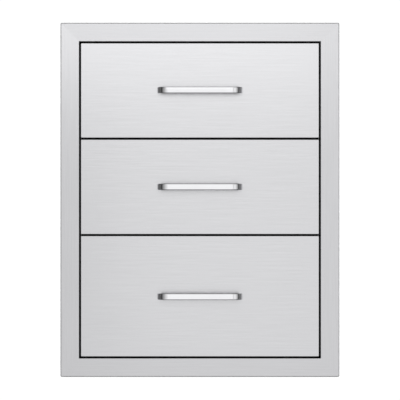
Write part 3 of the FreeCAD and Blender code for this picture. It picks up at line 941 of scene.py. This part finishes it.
def ball_rows_tree():
    """A row of balls along Y from each seat."""
    tree, given = seat_tree("ball_rows", ("Ball Radius", "Row Length"), Balls="Int")
    gaps = add(tree, "ShaderNodeMath", {0: given["Balls"], 1: -1.0}, operation="ADD")
    step = add(tree, "ShaderNodeMath", {0: given["Row Length"], 1: gaps}, operation="DIVIDE")
    offset = add(tree, "ShaderNodeCombineXYZ", {"Y": step})
    line = add(tree, "GeometryNodeMeshLine", {"Count": given["Balls"], "Offset": offset})
    ball = add(tree, "GeometryNodeMeshIcoSphere", {
        "Radius": given["Ball Radius"], "Subdivisions": BALL_SUBDIVISIONS})
    lines = add(tree, "GeometryNodeInstanceOnPoints", {
        "Points": given["Geometry"], "Instance": line})
    seats = add(tree, "GeometryNodeRealizeInstances", {"Geometry": lines})
    balls = add(tree, "GeometryNodeInstanceOnPoints", {"Points": seats, "Instance": ball})
    return finished(tree, balls, given)


def welds_tree():
    """Spot welds in rows along lines, each a shallow round cap."""
    tree, given = seat_tree("spot_weld_rows", ("Weld Radius", "Weld Rise", "Spacing"))
    lines = add(tree, "GeometryNodeMeshToCurve", {"Mesh": given["Geometry"]})
    seats = add(tree, "GeometryNodeResampleCurve", {
        "Curve": lines, "Length": given["Spacing"]}, mode="LENGTH")
    cap = add(tree, "GeometryNodeMeshUVSphere", {
        "Segments": WELD_SEGMENTS, "Rings": WELD_RINGS, "Radius": 1.0})
    placed = stand(tree, given, seats, cap, facing_turn(tree), "Weld Radius", "Weld Rise")
    return finished(tree, placed, given)


def grow(tree, seats, inputs, lines=()):
    """Runs a tree on seats, each a point and the way it faces, and gives back the plain shape."""
    mesh = bpy.data.meshes.new("seats")
    mesh.from_pydata([at for at, way in seats], lines, [])
    facing = mesh.attributes.new("facing", "FLOAT_VECTOR", "POINT")
    facing.data.foreach_set("vector", [c for at, way in seats for c in way])
    base = add_object("seats", mesh)
    work = base.modifiers.new("grow", "NODES")
    work.node_group = tree
    for item in tree.interface.items_tree:
        if item.in_out == "INPUT" and item.name in inputs:
            work[item.identifier] = inputs[item.name]
    made = bpy.data.meshes.new_from_object(
        base.evaluated_get(bpy.context.evaluated_depsgraph_get()))
    bm = bmesh.new()
    bm.from_mesh(made)
    base.modifiers.remove(work)
    bpy.data.objects.remove(base)
    bpy.data.meshes.remove(made)
    return bm


# Cabinet
piece("folded_face_frame", "cabinet", [(face_frame(), FRAME_STEEL)],
      "face_frame")
right_side = cabinet_side()
sheets = (("left_side_sheet", "left_side_panel", handed_copy(right_side, -1), Y),
          ("right_side_sheet", "right_side_panel", right_side, Y),
          ("top_pan", "top_panel", cabinet_pan("top_panel", 1), Y),
          ("bottom_pan", "bottom_panel", cabinet_pan("bottom_panel", -1), Y),
          ("beaded_back_sheet", "back_panel", cabinet_back(), X),
          ("upper_rail_channel", "upper_divider_rail", divider_rail("upper_divider_rail"), X),
          ("lower_rail_channel", "lower_divider_rail", divider_rail("lower_divider_rail"), X))
for name, node, shape, along in sheets:
    piece(name, "cabinet", [(shape, SHEET_STEEL)], node, along)
# The black seals are painted shade: they blacken the gaps round the fronts
piece("jamb_gasket", "cabinet", [(jamb_gasket(), GAP_SHADE_RUBBER)], "frame_seal")
gap_shade_gaskets = [(divider_gasket(f"{level}_divider_rail"), GAP_SHADE_RUBBER) for level in ("upper", "lower")]
piece("divider_gaskets", "cabinet", gap_shade_gaskets, "divider_seals")

# Slides. Each piece has its shapes, its material, its slot, its name, its CAD node and its body.
right_hand = (([cabinet_member()], ZINC, "slide_zinc", "outer_member", "cabinet_slide", "cabinet"),
              ([middle_member()], ZINC, "slide_zinc", "middle_member", "middle_slide",
               "{}_middle_slides"),
              ([drawer_member(), lever_pin()], ZINC, "slide_zinc", "inner_member", "drawer_slide",
               "{}_drawer"),
              ([lever_arm()], LEVER_PLASTIC, "lever_plastic", "lever_arm", "release_lever",
               "{}_{}_lever"))
ball_rows = (("outer", outer_row_out, outer_row_height, *outer_retainer),
             ("inner", inner_row_out, inner_row_height, *inner_retainer))
ball_tree = ball_rows_tree()
screw_template = add_object("screw_template", bpy.data.meshes.new("screw_template"))
template = screw_shape()
template.to_mesh(screw_template.data)
template.free()
screw_tree = screws_tree()


def screws(name, body, seats, head, node, seed):
    """Screws on their seats, as one piece."""
    shape = grow(screw_tree, seats, {
        "Screw": screw_template, "Head Radius": head[0], "Head Height": head[1], "Seed": seed,
        "Finish": SCREW_STEEL})
    piece(name, body, [(shape, SCREW_STEEL)], node)


cabinet_seats = []
for number, drawer in enumerate(DRAWERS):
    low, high = box(f"{drawer}_right_cabinet_slide")
    middle = (low.z + high.z) / 2
    drawer_seats = []
    for side, hand in (("left", -1), ("right", 1)):
        for shapes, material, slot, name, node, body in right_hand:
            copies = [(handed_copy(shape, hand, middle), material) for shape in shapes]
            piece(f"{drawer}_{side}_{name}", body.format(drawer, side), copies,
                  f"{drawer}_{side}_{node}")
        for at in slide_screws_at:
            y = low.y + at
            cabinet_seats.append(((hand * (high.x - slide_sheet), y, middle), (-hand, 0, 0)))
            drawer_seats.append(((hand * (high.x - web_face), y, middle), (hand, 0, 0)))
    screws(f"{drawer}_slide_screw_set", f"{drawer}_drawer", drawer_seats, slide_screw_head,
           f"{drawer}_slide_screws", number)
    for row, out, up, tall, lift in ball_rows:
        strips = []
        seats = []
        for hand, side in ((1, -1), (1, 1), (-1, -1), (-1, 1)):
            strip = retainer_strip(out, side * (up + lift), tall)
            strips.append((handed_copy(strip, hand, middle), ZINC))
            strip.free()
            seats.append(((hand * (high.x - out), low.y + retainer_low + retainer_end,
                           middle + side * up), (0, 0, 1)))
        balls = grow(ball_tree, seats, {
            "Ball Radius": ball_radius, "Balls": balls_in_row, "Finish": BALL_STEEL,
            "Row Length": retainer_high - retainer_low - 2 * retainer_end})
        strips.append((balls, BALL_STEEL))
        piece(f"{drawer}_{row}_ball_cages", f"{drawer}_{row}_balls", strips,
              f"{drawer}_{row}_ball_rows")
screws("cabinet_slide_screw_set", "cabinet", cabinet_seats, slide_screw_head,
       "cabinet_slide_screws", 3)

# Drawers
bar_tree = bent_bar_tree()
for number, drawer in enumerate(DRAWERS):
    body = f"{drawer}_drawer"
    piece(f"{drawer}_drawer_face", body, [(front_skin(drawer), FRONT_STEEL)],
          f"{drawer}_front_skin", X)
    piece(f"{drawer}_bar_handle", body, [(bar_handle(drawer, bar_tree), HANDLE_STEEL)],
          f"{drawer}_handle")
    piece(f"{drawer}_inner_liner", body, [(drawer_liner(drawer), SHEET_STEEL)],
          f"{drawer}_front_liner", X)
    piece(f"{drawer}_drawer_tub", body, [(shape, SHEET_STEEL) for shape in drawer_tub(drawer)],
          f"{drawer}_tub")
    low, high = box(f"{drawer}_handle")
    leg = high.x - handle_depth / 2
    seat_y = box(f"{drawer}_tub")[0].y + tub_sheet
    seats = [((x, seat_y, (low.z + high.z) / 2), (0, 1, 0)) for x in (-leg, leg)]
    screws(f"{drawer}_handle_screw_set", body, seats, handle_screw_head,
           f"{drawer}_handle_screws", 4 + number)
bpy.data.objects.remove(screw_template)

# Spot welds along the pans' folds
low, high = box("top_panel")
fold = low.z + (high.z - low.z) / 2 - weld_drop
weld_seats = [((side * high.x, y, z), (side, 0, 0)) for z in (-fold, fold) for side in (-1, 1)
              for y in (low.y + weld_inset, high.y - weld_inset)]
weld_lines = [(i, i + 1) for i in range(0, len(weld_seats), 2)]
welds = grow(welds_tree(), weld_seats, {
    "Weld Radius": weld_radius, "Weld Rise": weld_rise, "Spacing": weld_spacing,
    "Finish": SHEET_STEEL}, weld_lines)
piece("pan_spot_welds", "cabinet", [(welds, SHEET_STEEL)])


# Studio
FLOOR_DROP = 0.46
FLOOR_HALF = 20.0
FLOOR_FADE = {"From Min": 1.6, "From Max": 4.5}
FLOOR_CLOUDS = 3.0
FLOOR_ROUGHNESS = 0.9
BACKDROP = 1.05
# How bright the studio is, from behind the unit, at -1, to ahead of it, at 1. The dark band at
# the sides gives the handles their dark ends.
STUDIO_LEVELS = ((-1, 1.3), (-0.4, 1.25), (-0.18, 1.05), (-0.08, 0.25), (0.0, 0.05),
                 (0.3, 0.08), (0.5, 0.24), (0.63, 0.42), (0.77, 0.55), (0.875, 0.8),
                 (0.95, 0.97), (1, 1.0))
# Soft boxes, each with its middle, its turns in degrees, its size and its watts. The high one makes
# the fronts brighter at the top, and the tall one lights their middle. The right and the far one
# give the handles' right ends their slow change from bright to dark. The others light the
# cabinet's sides and top, too far back for the fronts.
SOFT_BOXES = {"high": ((-0.15, -1.3, 0.47), (90, 0, 0), (1.05, 0.45), 0.98),
              "tall": ((0.08, -1.3, 0.135), (90, 0, 0), (0.58, 1.13), 0.45),
              "right": ((1.42, -1.3, 0.0), (90, 0, 0), (1.3, 0.8), 1.6),
              "far": ((3.55, -1.3, 0.1), (90, 0, 0), (2.6, 1.1), 2.7),
              "left_side": ((-2.5, 0.6, 0.2), (90, 0, -90), (0.5, 1.4), 3.8),
              "right_side": ((2.5, 0.6, 0.2), (90, 0, 90), (0.5, 1.4), 3.8),
              "overhead": ((0.0, 0.6, 2.5), (0, 0, 0), (1.2, 0.6), 2.7)}
PHOTO_SIZE = 400
PHOTO_MIDDLE = (199.9, 199.85)
PHOTO_FRAME_WIDTH = 279.25
CAMERA_LENS = 300.0
CAMERA_SENSOR = 36.0


def floor():
    """A plain pale floor, well under the unit, that fades into the backdrop far away. The steel
    doesn't mirror it, as it is far too bright there."""
    level = cad_low.z - FLOOR_DROP
    mesh = bpy.data.meshes.new("studio_floor")
    corners = [(-1, -1), (1, -1), (1, 1), (-1, 1)]
    mesh.from_pydata([(x * FLOOR_HALF, y * FLOOR_HALF, level) for x, y in corners], [],
                     [(0, 1, 2, 3)])
    material, tree = blank_material("pale_studio_floor")
    place = add(tree, "ShaderNodeTexCoord").outputs["Object"]
    cloud = add(tree, "ShaderNodeTexNoise", {
        "Vector": place, "Scale": FLOOR_CLOUDS, "Detail": GRAIN_DETAIL})
    colour = add(tree, "ShaderNodeMix", {
        "Factor": cloud, "A": paint("#f2f2f2"), "B": paint("#f5f5f5")}, data_type="RGBA")
    plain = add(tree, "ShaderNodeBsdfPrincipled", {
        "Base Color": colour, "Roughness": FLOOR_ROUGHNESS})
    away = add(tree, "ShaderNodeVectorMath", {"Vector": place}, operation="LENGTH")
    fade = add(tree, "ShaderNodeMapRange", {"Value": away, **FLOOR_FADE})
    white = add(tree, "ShaderNodeEmission", {"Strength": BACKDROP})
    faded = add(tree, "ShaderNodeMixShader", {0: fade, 1: plain, 2: white})
    add(tree, "ShaderNodeOutputMaterial", {"Surface": faded})
    mesh.materials.append(material)
    made = add_object("studio_floor", mesh)
    made.visible_glossy = False


def surroundings():
    """The studio: bright ahead of the unit and behind it, darker at the sides and above. The
    backdrop that the camera sees is white."""
    world = bpy.data.worlds.new("studio")
    scene.world = world
    world.use_nodes = True
    tree = world.node_tree
    tree.nodes.clear()
    way = add(tree, "ShaderNodeTexCoord").outputs["Generated"]
    parts = add(tree, "ShaderNodeSeparateXYZ", {"Vector": way})
    ahead = add(tree, "ShaderNodeMapRange", {
        "Value": parts.outputs["Y"], "From Min": 1.0, "From Max": -1.0})
    ramp = add(tree, "ShaderNodeValToRGB", {"Fac": ahead})
    while len(ramp.color_ramp.elements) < len(STUDIO_LEVELS):
        ramp.color_ramp.elements.new(0.5)
    for element, (at, level) in zip(ramp.color_ramp.elements, STUDIO_LEVELS):
        element.position = (at + 1) / 2
        element.color = (level, level, level, 1.0)
    studio = add(tree, "ShaderNodeBackground", {"Color": ramp, "Strength": 1.0})
    white = add(tree, "ShaderNodeBackground", {"Color": (1, 1, 1, 1), "Strength": BACKDROP})
    seen = add(tree, "ShaderNodeLightPath").outputs["Is Camera Ray"]
    mix = add(tree, "ShaderNodeMixShader", {0: seen, 1: studio, 2: white})
    add(tree, "ShaderNodeOutputWorld", {"Surface": mix})


def soft_box(name, middle, turns, size, watts):
    """A soft box, of which only the light is seen."""
    light = bpy.data.lights.new(name, "AREA")
    light.shape = "RECTANGLE"
    light.size, light.size_y = size
    light.energy = watts
    made = add_object(name, light)
    made.location = middle
    made.rotation_euler = [radians(turn) for turn in turns]
    made.visible_camera = False


def camera():
    """A long lens, level with the middle of the frame, as in the photograph."""
    scale = (cad_high.x - cad_low.x) / PHOTO_FRAME_WIDTH
    away = scale * PHOTO_SIZE * CAMERA_LENS / CAMERA_SENSOR
    data = bpy.data.cameras.new("camera")
    data.lens = CAMERA_LENS
    data.sensor_width = CAMERA_SENSOR
    data.clip_end = 100.0
    made = add_object("camera", data)
    face = box("face_frame")[0].y * MM
    made.location = ((PHOTO_SIZE / 2 - PHOTO_MIDDLE[0]) * scale, face - away,
                     (PHOTO_MIDDLE[1] - PHOTO_SIZE / 2) * scale)
    made.rotation_euler = (radians(90), 0, 0)
    scene.camera = made


floor()
surroundings()
for name, placed in SOFT_BOXES.items():
    soft_box(f"{name}_soft_box", *placed)
camera()
scene.view_settings.view_transform = "Standard"
